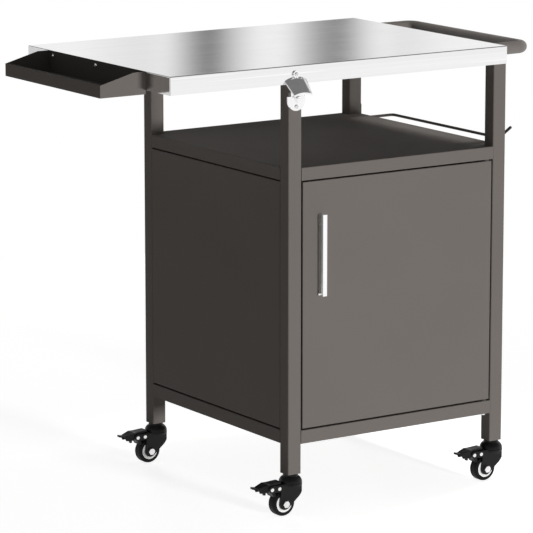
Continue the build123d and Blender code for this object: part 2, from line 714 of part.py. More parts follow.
def caster_dome():
    """The round cover over the swivel, with a groove round it and a collar at its top."""
    groove_z = roof_z + DOME_WALL
    groove_r = DOME_R - DOME_GROOVE
    wall_top = groove_z + DOME_GROOVE
    collar_z = dome_top - DOME_COLLAR
    step_r = DOME_COLLAR_R + DOME_STEP
    inward, upward = DOME_R - step_r, collar_z - wall_top
    radius = (inward ** 2 + upward ** 2) / (2 * inward)
    half_turn = math.asin(upward / radius) / 2
    bulge = (DOME_R - radius * (1 - math.cos(half_turn)), wall_top + radius * math.sin(half_turn))
    rim = [(DOME_R, roof_z), (DOME_R, groove_z), (groove_r, groove_z), (groove_r, wall_top)]
    lower = Polyline((0, roof_z), *rim, (DOME_R, wall_top))
    curve = ThreePointArc((DOME_R, wall_top), bulge, (step_r, collar_z))
    collar = [(DOME_COLLAR_R, collar_z), (DOME_COLLAR_R - DOME_STEP, dome_top)]
    upper = Polyline((step_r, collar_z), *collar, (0, dome_top), (0, roof_z))
    return revolve(Plane.XZ * make_face(lower + curve + upper), Axis.Z)


def caster_fork():
    """Dome, rounded back and two cheeks in one moulding: the cheeks carry the axle and the brake's pins."""
    axle_end = Pos(-TRAIL, axle_z) * Circle(AXLE_BOSS_R)
    knee = Pos(-KNEE_BACK, axle_z + KNEE_RISE) * Circle(KNEE_R)
    cheek = make_hull(axle_end.edges() + knee.edges())
    cheek_top = roof_z + DOME_WALL / 2
    cheek &= Pos(0, cheek_top / 2) * Rectangle(2 * PEDAL_PIVOT, cheek_top)
    arm = Pos(-PEDAL_PIVOT / 2, brake_z) * Rectangle(PEDAL_PIVOT, 2 * EYE_R)
    eye = Pos(-PEDAL_PIVOT, brake_z) * Circle(EYE_R)
    sides = extrude(Plane.XZ * (cheek + arm + eye), fork_half, both=True)
    faces = sides.faces().sort_by(Axis.Y)
    sides = fillet(faces[0].edges() + faces[-1].edges(), CHEEK_EASE)
    far = PEDAL_PIVOT + 2 * EYE_R
    plan = Circle(DOME_R - BACK_STEP) + Pos(-far / 2, 0) * Rectangle(far, 2 * fork_half)
    sides &= extrude(plan, leg_bottom)
    back = STEM_HEAD_R + STEM_HEAD_ROOM
    sides -= block(-far, back, -slot_half, slot_half, 0, leg_bottom)
    fork = sides + caster_dome()
    fork -= rod((0, 0, roof_z - DOME_GAP), (0, 0, 1), STEM_R + RUNNING_GAP, DOME_HEIGHT + 2 * DOME_GAP)
    across = 2 * fork_half
    fork -= drill((-TRAIL, -fork_half, axle_z), (0, 1, 0), AXLE_R, across)
    for x in (-PEDAL_PIVOT, -SPACER_PIN):
        fork -= drill((x, -fork_half, brake_z), (0, 1, 0), BRAKE_PIN_R, across)
    return fork


def wheel_profile(points):
    """Turn an outline of (radius, width) points about the axle."""
    plane = Plane(origin=(-TRAIL, 0, axle_z), x_dir=(0, 0, 1), z_dir=(-1, 0, 0))
    return revolve(plane * make_face(points), Axis((-TRAIL, 0, axle_z), (0, 1, 0)))


def wheel_hub():
    """A hub with a boss that nearly meets the cheeks, a recess and a flat outer ring."""
    bore = AXLE_R + RUNNING_GAP
    boss = slot_half - BOSS_SIDE_GAP
    ring_half = WHEEL_WIDTH / 2
    web = ring_half - HUB_RECESS
    inner = [(bore, boss), (HUB_BOSS_R, boss), (HUB_BOSS_R, web)]
    outer = [(HUB_RING_R, web), (HUB_RING_R, ring_half), (HUB_R - SEAT_GAP, ring_half)]
    side = inner + outer
    other = [(r, -y) for r, y in reversed(side)]
    return wheel_profile(Polyline(*side, *other, close=True))


def tyre():
    half = WHEEL_WIDTH / 2
    r, t = WHEEL_R, TYRE_ROUND
    tread = half - t
    bulge = t * math.sqrt(0.5)
    lines = Polyline((r, -tread), (r, tread))
    lines += ThreePointArc((r, tread), (r - t + bulge, tread + bulge), (r - t, half))
    lines += Polyline((r - t, half), (HUB_R, half), (HUB_R, -half), (r - t, -half))
    lines += ThreePointArc((r - t, -half), (r - t + bulge, -tread - bulge), (r, -tread))
    return wheel_profile(lines)


def axle_set():
    """The axle bolt, with its head at the front, and its nut."""
    start = (-TRAIL, -fork_half, axle_z)
    bolt = hexagon(start, (0, -1, 0), AXLE_FLATS, AXLE_HEAD)
    bolt += rod(start, (0, 1, 0), AXLE_R, fork_half + axle_tail)
    seat = (-TRAIL, fork_half, axle_z)
    nut = hexagon(seat, (0, 1, 0), AXLE_FLATS, AXLE_NUT) - drill(seat, (0, 1, 0), AXLE_R, AXLE_NUT)
    return [bolt, nut]


def brake_pins():
    """Two rivets across the fork: the pedal turns on one and the other keeps the cheeks apart."""
    pins = []
    for x in (-PEDAL_PIVOT, -SPACER_PIN):
        pin = rod((x, -fork_half, brake_z), (0, 1, 0), BRAKE_PIN_R, 2 * fork_half)
        for y, way in ((-fork_half, -1), (fork_half, 1)):
            head = rod((x, y, brake_z), (0, way, 0), BRAKE_PIN_HEAD_R, BRAKE_PIN_HEAD)
            rim = head.edges().group_by(Axis.Y)[0 if way < 0 else -1]
            pin += fillet(rim, HEAD_ROUND * BRAKE_PIN_HEAD)
        pins.append(pin)
    return pins


def brake_pedal():
    """A foot plate with a turned-up toe, skirts and a heel, an eye on its pin and a shoe for the tyre."""
    top = brake_z + PEDAL_RISE
    low = top - PEDAL_SHEET
    tip = -PEDAL_REACH
    dip = tip + PEDAL_TOE
    wide = -PEDAL_PIVOT - EYE_R - EYE_ROOM
    dip_z = top - PEDAL_DIP
    skirt_z = top - PEDAL_SKIRT
    t = PEDAL_SHEET
    upper = [(-PEDAL_INNER, top), (wide, top - PEDAL_SLOPE), (dip, dip_z), (tip, dip_z + PEDAL_TOE_RISE)]
    plate = Polyline(*upper, *[(x, z - t) for x, z in reversed(upper)], close=True)
    skirt_foot = [(wide, skirt_z), (dip + PEDAL_SKIRT_SLANT, skirt_z)]
    skirt = Polyline((wide, low - PEDAL_SLOPE), *skirt_foot, (dip, dip_z - t), close=True)
    neck = slot_half - PEDAL_SIDE_GAP
    half, dip_half, toe_half = PEDAL_WIDTH / 2, PEDAL_DIP_WIDTH / 2, PEDAL_TOE_WIDTH / 2
    edge = [(-PEDAL_INNER, neck), (-PEDAL_PIVOT, neck), (wide, half), (dip, dip_half), (tip, toe_half)]
    plan = Polyline(*edge, *[(x, -y) for x, y in reversed(edge)], close=True)
    column = extrude(make_face(plan), leg_top)
    column = fillet(column.edges().filter_by(Axis.Z), PEDAL_ROUND)
    pedal = extrude(Plane.XZ * make_face(plate), half, both=True) & column
    inside = dip_half - t / 2
    sides = extrude(Plane.XZ * make_face(skirt), half, both=True) & column
    pedal += sides - block(tip, wide, -inside, inside, 0, low)
    pedal += block(wide - t, wide, -SHOE_R, SHOE_R, brake_z - PEDAL_HEEL, low - PEDAL_SLOPE)
    pivot = Pos(-PEDAL_PIVOT, brake_z)
    to_axle = Vector(PEDAL_PIVOT - TRAIL, 0, axle_z - brake_z)
    shoe_length = to_axle.length - WHEEL_R - BRAKE_GAP - SHOE_R
    turn = math.degrees(math.atan2(to_axle.Z, to_axle.X)) - BRAKE_TRAVEL
    shoe = Pos(shoe_length / 2, 0) * Rectangle(shoe_length, 2 * SHOE_R) + Pos(shoe_length, 0) * Circle(SHOE_R)
    eye_r = EYE_R - PEDAL_SIDE_GAP
    web = Pos(0, (low - brake_z) / 2) * Rectangle(2 * eye_r, low - brake_z)
    eye = pivot * (Circle(eye_r) + web + Rot(0, 0, turn) * shoe)
    pedal += extrude(Plane.XZ * eye, neck, both=True)
    return pedal - rod((-PEDAL_PIVOT, -half, brake_z), (0, 1, 0), BRAKE_PIN_R + RUNNING_GAP, 2 * half)


tray_channel, tray_ends = tray_pieces()
parts = {
    "worktop": worktop(),
    "front_top_rail": top_rail("front"),
    "rear_top_rail": top_rail("rear"),
    "leg_plugs": leg_plugs(),
    "mid_shelf": mid_shelf(),
    "base_panel": base_panel(),
    "left_side_panel": side_panel("left"),
    "right_side_panel": side_panel("right"),
    "rear_panel": rear_panel(),
    "frame_bolts": group(bolts_of(pan_bolts, tab_bolt) + bolts_of(rail_bolts, rail_bolt)),
    "panel_screws": group(screws_of(panel_screws, panel_screw)),
    "side_tray": tray_channel,
    "tray_ends": tray_ends,
    "tray_screws": tray_screw_sets(),
    "push_handle": push_handle(),
    "handle_plugs": handle_plugs(),
    "handle_bolts": group(bolts_of(bar_bolts, bar_bolt)),
    "roll_holder": roll_holder(),
    "roll_holder_screws": group(screws_of(rod_screws, rod_screw)),
    "bottle_opener": bottle_opener(),
    "opener_screws": group(screws_of(opener_screws, opener_screw)),
    "hinge_pins": hinge_pins(),
    "door_catch": door_catch(),
    "door_panel": door_panel(),
    "door_stiffener": door_stiffener(),
    "door_handle": door_pull(),
    "door_handle_screws": group(screws_of(pull_screws, pull_screw)),
    "door_bushes": door_bushes(),
    "strike_plate": strike_plate(),
}

caster_pieces = {
    "caster_fork": [caster_fork()],
    "caster_axle": axle_set(),
    "brake_pins": brake_pins(),
    "wheel_hub": [wheel_hub()],
    "tyre": [tyre()],
    "brake_pedal": [brake_pedal()],
}
stems = []
for row, side in corners:
    place = Pos(leg_x[side], leg_y[row], 0)
    parts[f"leg_{row}_{side}"] = leg(row, side)
    stems.append(place * caster_stem())
    for name, solids in caster_pieces.items():
        parts[f"{name}_{row}_{side}"] = group([place * solid for solid in solids])
parts["caster_stems"] = group(stems)

os.makedirs("parts", exist_ok=True)
for name, shape in parts.items():
    export_step(shape, f"parts/{name}.step")
print(len(parts), "nodes, height", round(top_z, 2), "hinge at", round(pin_x, 3), round(pin_y, 3))
print("pedal pin", round(-PEDAL_PIVOT, 2), round(brake_z, 2), "axle", -TRAIL, axle_z, "legs", leg_x, leg_y)
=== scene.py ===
import math

import bmesh
import bpy
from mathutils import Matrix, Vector


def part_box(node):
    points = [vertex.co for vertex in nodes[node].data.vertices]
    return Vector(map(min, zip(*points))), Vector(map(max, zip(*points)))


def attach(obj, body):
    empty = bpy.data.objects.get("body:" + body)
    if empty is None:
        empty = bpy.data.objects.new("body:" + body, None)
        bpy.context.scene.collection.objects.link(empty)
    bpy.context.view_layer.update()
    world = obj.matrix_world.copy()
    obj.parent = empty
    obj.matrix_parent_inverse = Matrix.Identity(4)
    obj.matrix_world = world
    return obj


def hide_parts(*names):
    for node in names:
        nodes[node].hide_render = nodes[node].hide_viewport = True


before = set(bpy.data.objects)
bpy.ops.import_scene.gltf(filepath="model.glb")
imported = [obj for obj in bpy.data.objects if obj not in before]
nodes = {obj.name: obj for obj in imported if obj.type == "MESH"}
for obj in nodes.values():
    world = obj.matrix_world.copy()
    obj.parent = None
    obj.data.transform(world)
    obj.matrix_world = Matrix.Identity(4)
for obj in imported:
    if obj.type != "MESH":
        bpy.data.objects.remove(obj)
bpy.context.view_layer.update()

scene = bpy.context.scene
CORNERS = ("front_left", "front_right", "rear_left", "rear_right")
CREASE = 35.0  # degrees past which an edge looks sharp
CAST_CREASE = 14.0  # the same, on the opener's casting
FACE_WEIGHT = 90  # how far large faces rule the normals of a smooth copy
CAD_WELD = 2e-6
DOME_WELD = 1e-6
HEXAGON_WELD = 2e-5

# Noise levels between which an effect fades in
FLECK_RANGE = (0.58, 0.72)
CLOUD_RANGE = (0.3, 0.7)
TONE_RANGE = (0.3, 0.7)
SCRATCH_RANGE = (0.74, 0.8)
SMUDGE_RANGE = (0.42, 0.68)
DUST_RANGE = (0.35, 0.75)
UPWARD_RANGE = (0.4, 1.0)  # a normal's Z, from no dust to full dust
EDGE_RANGE = (0.995, 0.85)  # a face normal times its rounded normal, from plain to the worn edge with its painted highlight

COAT_DUST = (0.32, 0.3, 0.27)
MOULDED_DUST = (0.3, 0.28, 0.25)
TAUPE = (0.16, 0.145, 0.134)
BLACK = (0.005, 0.005, 0.005)
WHITE = (0.93, 0.93, 0.91)
ACROSS_LINES = 900.0  # noise scale across the lines of brushed steel
ALONG_LINES = 6.0  # noise scale along them
FLECKS_PER_PEEL = 2.5
PALE_GAIN = 1.5
PALE_LIFT = 0.006

HEAD_RINGS = 10
HEAD_SIDES = 32
SHANK_SIDES = 20
CONE_SIDES = 48
COLLAR_SIDES = 40
SCREW_FULLNESS = 0.55
RIVET_FULLNESS = 0.6
DIMPLE_RANGE = (0.45, 0.1)
RECESS_TURN = 20.0
RECESS_REACH = 1.25
RECESS_DEPTH = 1.2
CHAMFER_TOP = 0.93
CHAMFER_SLOPE = 1.1
COLLAR_HEIGHT = 0.1
COLLAR_WIDTH = 0.98


class Wiring:
    """Adds nodes to a tree. A value that is a socket is linked, and any other is set."""

    def __init__(self, tree):
        self.tree = tree

    def add(self, kind, values=None, **settings):
        node = self.tree.nodes.new(kind)
        for key, value in settings.items():
            setattr(node, key, value)
        for key, value in (values or {}).items():
            if isinstance(value, bpy.types.NodeSocket):
                self.tree.links.new(value, node.inputs[key])
            else:
                node.inputs[key].default_value = value
        return node

    def link(self, source, target):
        self.tree.links.new(source, target)

    def math(self, operation, a, b=0.0):
        return self.add("ShaderNodeMath", {0: a, 1: b}, operation=operation).outputs[0]

    def times(self, a, b):
        return self.math("MULTIPLY", a, b)

    def plus(self, a, b):
        return self.math("ADD", a, b)

    def vector(self, operation, a, b):
        return self.add("ShaderNodeVectorMath", {0: a, 1: b}, operation=operation).outputs[0]

    def dot(self, a, b):
        node = self.add("ShaderNodeVectorMath", {0: a, 1: b}, operation="DOT_PRODUCT")
        return node.outputs["Value"]

    def span(self, value, low, high, to_low=0.0, to_high=1.0):
        """A value eased from one range to another."""
        values = {"Value": value, "From Min": low, "From Max": high, "To Min": to_low, "To Max": to_high}
        return self.add("ShaderNodeMapRange", values, interpolation_type="SMOOTHSTEP").outputs[0]

    def mix(self, factor, a, b):
        """A colour between a and b."""
        return self.add("ShaderNodeMix", {0: factor, 6: a, 7: b}, data_type="RGBA").outputs[2]

    def tint(self, tone, colour, effect, share):
        """A tone with a share of another colour where an effect shows."""
        return self.mix(self.times(effect, share), tone, colour)

    def raised(self, value, effect, amount):
        """A value that an effect raises by an amount."""
        return self.plus(value, self.times(effect, amount))

    def place(self):
        """Where a point lies on its object."""
        return self.add("ShaderNodeTexCoord").outputs["Object"]

    def noise(self, place, scale, detail, **more):
        values = {"Vector": place, "Scale": scale, "Detail": detail, **more}
        return self.add("ShaderNodeTexNoise", values).outputs["Fac"]


def shade(r, g, b):
    return (r, g, b, 1.0)


def grey(level):
    return shade(level, level, level)


def scaled(colour, gain):
    """A colour made lighter or darker, up to white."""
    return shade(*[min(1.0, c * gain) for c in colour])


def shared_effect(name, inputs, outputs):
    """An empty shader group with number inputs and outputs."""
    group = bpy.data.node_groups.new(name, "ShaderNodeTree")
    for label, value in inputs.items():
        socket = group.interface.new_socket(label, in_out="INPUT", socket_type="NodeSocketFloat")
        socket.default_value = value
    for label in outputs:
        group.interface.new_socket(label, in_out="OUTPUT", socket_type="NodeSocketFloat")
    w = Wiring(group)
    taken = w.add("NodeGroupInput").outputs
    given = w.add("NodeGroupOutput").inputs
    return group, w, taken, given


def powder_grain():
    """Orange peel, fine flecks and slow cloudiness of a powder coat."""
    inputs = {"Peel Scale": 420.0, "Fleck Scale": 1500.0, "Cloud Scale": 5.0}
    group, w, taken, given = shared_effect("powder_grain", inputs, ("Height", "Fleck", "Cloud"))
    place = w.place()
    w.link(w.noise(place, taken["Peel Scale"], detail=1.5), given["Height"])
    w.link(w.span(w.noise(place, taken["Fleck Scale"], detail=0.0), *FLECK_RANGE), given["Fleck"])
    w.link(w.span(w.noise(place, taken["Cloud Scale"], detail=3.0), *CLOUD_RANGE), given["Cloud"])
    return group


def worn_edge():
    """Where a coat is worn thin and where edges catch light: a narrow line along the edges. Materials paint
    it paler, as wear and as a painted highlight.
    """
    group, w, taken, given = shared_effect("worn_edge", {"Radius": 0.0012}, ("Edge",))
    flat = w.add("ShaderNodeNewGeometry").outputs["Normal"]
    eased = w.add("ShaderNodeBevel", {"Radius": taken["Radius"]}, samples=4).outputs["Normal"]
    w.link(w.span(w.dot(flat, eased), *EDGE_RANGE), given["Edge"])
    return group


def brushed_lines():
    """Fine lines of a brushed sheet, long in one direction, with a few longer scratches."""
    inputs = {"Along X": ALONG_LINES, "Along Y": ACROSS_LINES, "Along Z": ACROSS_LINES}
    group, w, taken, given = shared_effect("brushed_lines", inputs, ("Height", "Tone", "Scratch"))
    stretch = w.add("ShaderNodeCombineXYZ", {0: taken["Along X"], 1: taken["Along Y"], 2: taken["Along Z"]})
    drawn = w.vector("MULTIPLY", w.place(), stretch.outputs[0])
    w.link(w.noise(drawn, scale=1.0, detail=3.0, Roughness=0.7), given["Height"])
    w.link(w.span(w.noise(drawn, scale=0.12, detail=2.0), *TONE_RANGE), given["Tone"])
    w.link(w.span(w.noise(drawn, scale=0.35, detail=0.0), *SCRATCH_RANGE), given["Scratch"])
    return group


def handling_marks():
    """Wiped smudges and a thin settled dust on what faces upwards."""
    inputs = {"Smudge Scale": 9.0, "Dust Scale": 60.0}
    group, w, taken, given = shared_effect("handling_marks", inputs, ("Smudge", "Dust"))
    place = w.place()
    smudge = w.noise(place, taken["Smudge Scale"], detail=5.0, Distortion=0.6)
    dust = w.noise(place, taken["Dust Scale"], detail=6.0)
    facing = w.add("ShaderNodeNewGeometry").outputs["Normal"]
    up = w.add("ShaderNodeSeparateXYZ", {0: facing}).outputs["Z"]
    w.link(w.span(smudge, *SMUDGE_RANGE), given["Smudge"])
    w.link(w.times(w.span(up, *UPWARD_RANGE), w.span(dust, *DUST_RANGE)), given["Dust"])
    return group


GRAIN = powder_grain()
EDGE = worn_edge()
LINES = brushed_lines()
MARKS = handling_marks()


def start_material(name, metallic=0.0):
    mat = bpy.data.materials.new(name)
    mat.use_nodes = True
    shader = mat.node_tree.nodes["Principled BSDF"]
    shader.inputs["Metallic"].default_value = metallic
    return mat, Wiring(mat.node_tree), shader


def use(w, group, **values):
    node = w.add("ShaderNodeGroup", node_tree=group)
    for label, value in values.items():
        node.inputs[label.replace("_", " ")].default_value = value
    return node.outputs


def feed(w, shader, colour, roughness, height, strength, distance):
    """Join a colour, a roughness and a bump height to a shader."""
    w.link(colour, shader.inputs["Base Color"])
    w.link(roughness, shader.inputs["Roughness"])
    bump = w.add("ShaderNodeBump", {"Height": height, "Strength": strength, "Distance": distance})
    w.link(bump.outputs["Normal"], shader.inputs["Normal"])


def powder_coat(name, colour, roughness, gloss, edge_gain):
    """Satin powder coat: peel, flecks, edges painted paler as wear and as a painted highlight, and a little
    dust.
    """
    mat, w, shader = start_material(name)
    grain = use(w, GRAIN)
    edge = use(w, EDGE)
    marks = use(w, MARKS)
    tone = w.mix(grain["Cloud"], scaled(colour, gain=0.97), shade(*colour))
    tone = w.tint(tone, scaled(colour, gain=1.12), grain["Fleck"], share=0.5)
    # edges painted paler: partly wear, partly a painted highlight along them
    tone = w.tint(tone, scaled(colour, edge_gain), edge["Edge"], share=0.45)
    tone = w.tint(tone, shade(*COAT_DUST), marks["Dust"], share=0.03)
    rough = w.raised(roughness, marks["Smudge"], amount=0.07)
    rough = w.raised(rough, grain["Fleck"], amount=0.05)
    feed(w, shader, tone, rough, grain["Height"], strength=0.16, distance=0.0004)
    shader.inputs["Specular IOR Level"].default_value = gloss
    return mat


def brushed_steel(name, colour, roughness, along, spread):
    """Brushed stainless steel, with its lines along one axis."""
    mat, w, shader = start_material(name, metallic=1.0)
    scales = [ACROSS_LINES] * 3
    scales[along] = ALONG_LINES
    lines = use(w, LINES, Along_X=scales[0], Along_Y=scales[1], Along_Z=scales[2])
    marks = use(w, MARKS)
    tone = w.mix(lines["Tone"], scaled(colour, gain=0.95), shade(*colour))
    tone = w.tint(tone, grey(level=0.95), lines["Scratch"], share=0.35)
    rough = w.raised(roughness, lines["Tone"], spread)
    rough = w.raised(rough, marks["Smudge"], spread)
    feed(w, shader, tone, rough, lines["Height"], strength=0.012, distance=0.0001)
    return mat


def bright_plate(name, colour, warm, roughness):
    """Zinc or chrome plating: faintly mottled, with small casting ripples."""
    mat, w, shader = start_material(name, metallic=1.0)
    grain = use(w, GRAIN, Peel_Scale=160.0, Cloud_Scale=60.0)
    marks = use(w, MARKS, Smudge_Scale=70.0)
    tone = w.mix(grain["Cloud"], shade(*colour), shade(*warm))
    rough = w.raised(roughness, marks["Smudge"], amount=0.1)
    feed(w, shader, tone, rough, grain["Height"], strength=0.08, distance=0.0003)
    return mat


def moulded(name, colour, roughness, peel, strength, dust, gloss):
    """Moulded plastic or rubber: fine grain, edges painted paler as wear and as a painted highlight, and a
    little dust.
    """
    mat, w, shader = start_material(name)
    grain = use(w, GRAIN, Peel_Scale=peel, Fleck_Scale=FLECKS_PER_PEEL * peel, Cloud_Scale=40.0)
    edge = use(w, EDGE, Radius=0.0008)
    marks = use(w, MARKS, Smudge_Scale=45.0, Dust_Scale=160.0)
    pale = shade(*[min(1.0, c * PALE_GAIN + PALE_LIFT) for c in colour])
    tone = w.mix(grain["Cloud"], scaled(colour, gain=0.85), shade(*colour))
    # edges painted paler: partly wear, partly a painted highlight along them
    tone = w.tint(tone, pale, edge["Edge"], share=0.5)
    tone = w.tint(tone, shade(*MOULDED_DUST), marks["Dust"], dust)
    rough = w.raised(roughness, marks["Smudge"], amount=0.12)
    feed(w, shader, tone, rough, grain["Height"], strength, distance=0.0004)
    shader.inputs["Specular IOR Level"].default_value = gloss
    return mat


finishes = {
    "painted_steel": powder_coat("taupe_powder_coat", TAUPE, roughness=0.66, gloss=0.03, edge_gain=1.6),
    "stainless": brushed_steel(
        "brushed_worktop_steel", (0.78, 0.78, 0.78), roughness=0.09, along=0, spread=0.012),
    "zinc": bright_plate("zinc_plating", (0.84, 0.84, 0.85), warm=(0.79, 0.78, 0.76), roughness=0.2),
    "opener_chrome": bright_plate(
        "chromed_casting", (0.82, 0.82, 0.83), warm=(0.78, 0.78, 0.78), roughness=0.1),
    "handle_steel": brushed_steel(
        "brushed_pull_steel", (0.86, 0.86, 0.86), roughness=0.1, along=2, spread=0.02),
    "black_rod": powder_coat(
        "dark_rod_coat", (0.055, 0.048, 0.044), roughness=0.3, gloss=0.1, edge_gain=1.8),
    "catch_plastic": moulded(
        "catch_moulding", (0.05, 0.05, 0.05), roughness=0.5, peel=500.0, strength=0.2, dust=0.05, gloss=0.4),
    "black_nylon": moulded(
        "black_caster_nylon", BLACK, roughness=0.34, peel=300.0, strength=0.12, dust=0.02, gloss=0.2),
    "white_nylon": moulded(
        "white_hub_nylon", WHITE, roughness=0.36, peel=400.0, strength=0.12, dust=0.02, gloss=0.5),
    "tyre_rubber": moulded(
        "tyre_rubber", BLACK, roughness=0.6, peel=700.0, strength=0.25, dust=0.02, gloss=0.2),
}
TUBE_COAT = powder_coat("taupe_tube_coat", TAUPE, roughness=0.4, gloss=0.5, edge_gain=1.3)
for node in nodes.values():
    slot = node.data.materials[0].name.split(".")[0]
    node.data.materials[0] = finishes[slot]


def shape_tree(name, sizes):
    """A geometry tree with named size inputs and a material."""
    tree = bpy.data.node_groups.new(name, "GeometryNodeTree")
    face = tree.interface
    face.new_socket("Geometry", in_out="INPUT", socket_type="NodeSocketGeometry")
    for label, value in sizes.items():
        kind = "NodeSocketInt" if isinstance(value, int) else "NodeSocketFloat"
        socket = face.new_socket(label, in_out="INPUT", socket_type=kind)
        socket.default_value = value
    face.new_socket("Material", in_out="INPUT", socket_type="NodeSocketMaterial")
    face.new_socket("Geometry", in_out="OUTPUT", socket_type="NodeSocketGeometry")
    w = Wiring(tree)
    return w, w.add("NodeGroupInput").outputs, w.add("NodeGroupOutput").inputs


def close_tree(w, shape, taken, given):
    real = w.add("GeometryNodeRealizeInstances", {"Geometry": shape})
    coated = w.add("GeometryNodeSetMaterial", {"Geometry": real.outputs[0], "Material": taken["Material"]})
    w.link(coated.outputs[0], given["Geometry"])
    return w.tree


def shift(w, shape, place, turn=(0, 0, 0)):
    values = {"Geometry": shape, "Translation": place, "Rotation": turn}
    return w.add("GeometryNodeTransform", values).outputs[0]


def joined(w, *shapes):
    node = w.add("GeometryNodeJoinGeometry")
    for shape in shapes:
        w.link(shape, node.inputs[0])
    return node.outputs[0]


def upright(w, z):
    return w.add("ShaderNodeCombineXYZ", {2: z}).outputs[0]


def welded(w, shape, distance):
    return w.add("GeometryNodeMergeByDistance", {"Geometry": shape, "Distance": distance}).outputs[0]


def domed(w, radius, height, fullness, dimple):
    """A closed round head on z = 0, with a full shoulder and a dimple in its middle."""
    values = {"Size X": 1.0, "Size Y": 1.0, "Vertices X": HEAD_RINGS, "Vertices Y": HEAD_SIDES + 1}
    grid = w.add("GeometryNodeMeshGrid", values)
    axes = w.add("ShaderNodeSeparateXYZ", {0: w.add("GeometryNodeInputPosition").outputs[0]}).outputs
    outward = w.plus(axes["X"], 0.5)
    round_turn = w.times(axes["Y"], math.tau)
    lean = w.times(outward, math.pi / 2)
    r = w.times(radius, w.math("POWER", w.math("SINE", lean), fullness))
    rise = w.math("MAXIMUM", w.math("COSINE", lean), 0.0)
    z = w.times(height, w.math("POWER", rise, fullness))
    z = w.math("SUBTRACT", z, w.times(dimple, w.span(outward, *DIMPLE_RANGE)))
    x = w.times(r, w.math("COSINE", round_turn))
    y = w.times(r, w.math("SINE", round_turn))
    place = w.add("ShaderNodeCombineXYZ", {0: x, 1: y, 2: z}).outputs[0]
    dome = w.add("GeometryNodeSetPosition", {"Geometry": grid.outputs["Mesh"], "Position": place}).outputs[0]
    disc = w.add("GeometryNodeMeshCircle", {"Vertices": HEAD_SIDES, "Radius": radius}, fill_type="NGON")
    under = w.add("GeometryNodeFlipFaces", {"Mesh": disc.outputs["Mesh"]}).outputs[0]
    return welded(w, joined(w, dome, under), DOME_WELD)


def on_points(w, points, shape, stretch=None):
    """A copy of a shape on each point, its +Z against the way that the point's shank goes."""
    way = w.add("GeometryNodeInputNamedAttribute", {"Name": "axis"}, data_type="FLOAT_VECTOR").outputs[0]
    back = w.vector("MULTIPLY", way, (-1, -1, -1))
    turn = w.add("FunctionNodeAlignRotationToVector", {"Vector": back}, axis="Z").outputs[0]
    values = {"Points": points, "Instance": shape, "Rotation": turn}
    node = w.add("GeometryNodeInstanceOnPoints", values)
    if stretch:
        length = w.add("GeometryNodeInputNamedAttribute", {"Name": stretch}, data_type="FLOAT").outputs[0]
        scale = w.add("ShaderNodeCombineXYZ", {0: 1.0, 1: 1.0, 2: length}).outputs[0]
        w.link(scale, node.inputs["Scale"])
    return node.outputs[0]


def shank(w, radius):
    """A round shank of unit length below z = 0."""
    values = {"Vertices": SHANK_SIDES, "Radius": radius, "Depth": 1.0}
    bar = w.add("GeometryNodeMeshCylinder", values).outputs["Mesh"]
    return shift(w, bar, (0, 0, -0.5))


def fastener_tree(w, head, taken, given):
    """A head and a shank on each of a tree's points."""
    heads = on_points(w, taken["Geometry"], head)
    shanks = on_points(w, taken["Geometry"], shank(w, taken["Shank Radius"]), "length")
    return close_tree(w, joined(w, heads, shanks), taken, given)


def round_head_screws():
    """Screws with a domed head, a cross recess and a plain shank."""
    sizes = {"Head Radius": 0.004, "Head Height": 0.0024, "Shank Radius": 0.002, "Recess Width": 0.0011}
    w, taken, given = shape_tree("round_head_screws", sizes)
    head = domed(w, taken["Head Radius"], taken["Head Height"], SCREW_FULLNESS, 0.0)
    long = w.times(taken["Head Radius"], RECESS_REACH)
    deep = w.times(taken["Head Height"], RECESS_DEPTH)
    arm = w.add("ShaderNodeCombineXYZ", {0: long, 1: taken["Recess Width"], 2: deep}).outputs[0]
    bar = w.add("GeometryNodeMeshCube", {"Size": arm}).outputs["Mesh"]
    lift = upright(w, taken["Head Height"])
    cut = w.add("GeometryNodeMeshBoolean", {"Mesh 1": head}, operation="DIFFERENCE", solver="EXACT")
    for turn in (RECESS_TURN, RECESS_TURN + 90.0):
        w.link(shift(w, bar, lift, (0, 0, math.radians(turn))), cut.inputs["Mesh 2"])
    return fastener_tree(w, cut.outputs["Mesh"], taken, given)


def hexagon_heads():
    """Chamfered hexagon heads or nuts on a washer face, with a shank."""
    sizes = {"Across Flats": 0.013, "Head Height": 0.0053, "Shank Radius": 0.004}
    w, taken, given = shape_tree("hexagon_heads", sizes)
    height = taken["Head Height"]
    half = w.times(taken["Across Flats"], 0.5)
    corner = w.math("DIVIDE", taken["Across Flats"], math.sqrt(3))
    collar = w.times(height, COLLAR_HEIGHT)
    values = {"Vertices": 6, "Radius": corner, "Depth": height}
    prism = w.add("GeometryNodeMeshCylinder", values).outputs["Mesh"]
    values = {"Vertices": CONE_SIDES, "Radius Top": w.times(half, CHAMFER_TOP), "Depth": height}
    values["Radius Bottom"] = w.plus(corner, w.times(height, CHAMFER_SLOPE))
    cone = w.add("GeometryNodeMeshCone", values).outputs["Mesh"]
    cut = w.add("GeometryNodeMeshBoolean", operation="INTERSECT", solver="EXACT")
    w.link(shift(w, prism, upright(w, w.times(height, 0.5))), cut.inputs["Mesh 2"])
    w.link(cone, cut.inputs["Mesh 2"])
    clean = welded(w, cut.outputs["Mesh"], HEXAGON_WELD)
    values = {"Vertices": COLLAR_SIDES, "Radius": w.times(half, COLLAR_WIDTH), "Depth": collar}
    washer = w.add("GeometryNodeMeshCylinder", values).outputs["Mesh"]
    head = joined(w, clean, shift(w, washer, upright(w, w.times(collar, 0.5))))
    return fastener_tree(w, head, taken, given)


def rivets():
    """Dished rivet heads with a plain shank."""
    sizes = {"Head Radius": 0.004, "Head Height": 0.0018, "Shank Radius": 0.0025, "Dish": 0.0005}
    w, taken, given = shape_tree("rivets", sizes)
    head = domed(w, taken["Head Radius"], taken["Head Height"], RIVET_FULLNESS, taken["Dish"])
    return fastener_tree(w, head, taken, given)


